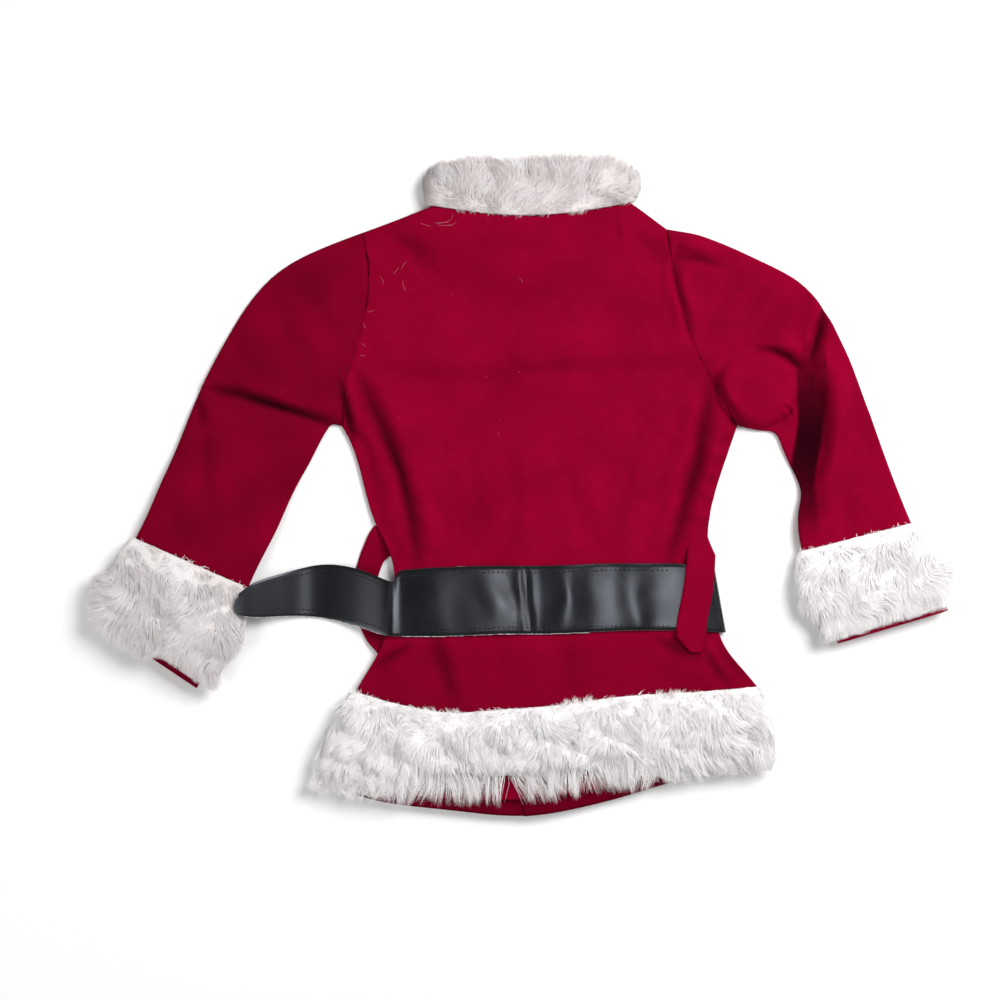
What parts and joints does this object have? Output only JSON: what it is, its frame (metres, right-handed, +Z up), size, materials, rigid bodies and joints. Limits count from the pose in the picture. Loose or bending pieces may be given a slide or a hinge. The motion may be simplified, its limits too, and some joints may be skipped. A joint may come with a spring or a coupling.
{
  "type": "santa suit jacket with belt",
  "caption": "Child's red velvet Santa jacket with white fur collar, cuffs and hem, laid flat face down, its black belt across the back through one side loop.",
  "frame": {"origin": "middle of the garment's extent in plan, on the surface that it lies on", "axes": "+X to the wearer's right across the sleeves, +Y to the neck, +Z up from the surface, out of the jacket's back"},
  "size_m": [0.7296, 0.5594, 0.0292],
  "materials": {
    "velvet": "short-pile crimson velvet, matt with a soft sheen",
    "fur": "long-pile warm white faux fur",
    "belt_leather": "black faux leather, semi-gloss, stitched along both edges",
    "buckle_metal": "plain pale gold plate"
  },
  "bodies": {
    "root": {"back_panel": "velvet", "front_left_panel": "velvet", "front_right_panel": "velvet", "sleeve_left": "velvet", "sleeve_right": "velvet", "cuff_fur_left": "fur", "cuff_fur_right": "fur", "collar_fur": "fur", "hem_fur_back": "fur", "hem_fur_front_left": "fur", "hem_fur_front_right": "fur", "belt_strap": "belt_leather", "belt_loop_left": "velvet", "belt_loop_right": "velvet", "belt_buckle_frame": "buckle_metal", "belt_buckle_bar": "buckle_metal"}
  },
  "joints": []
}
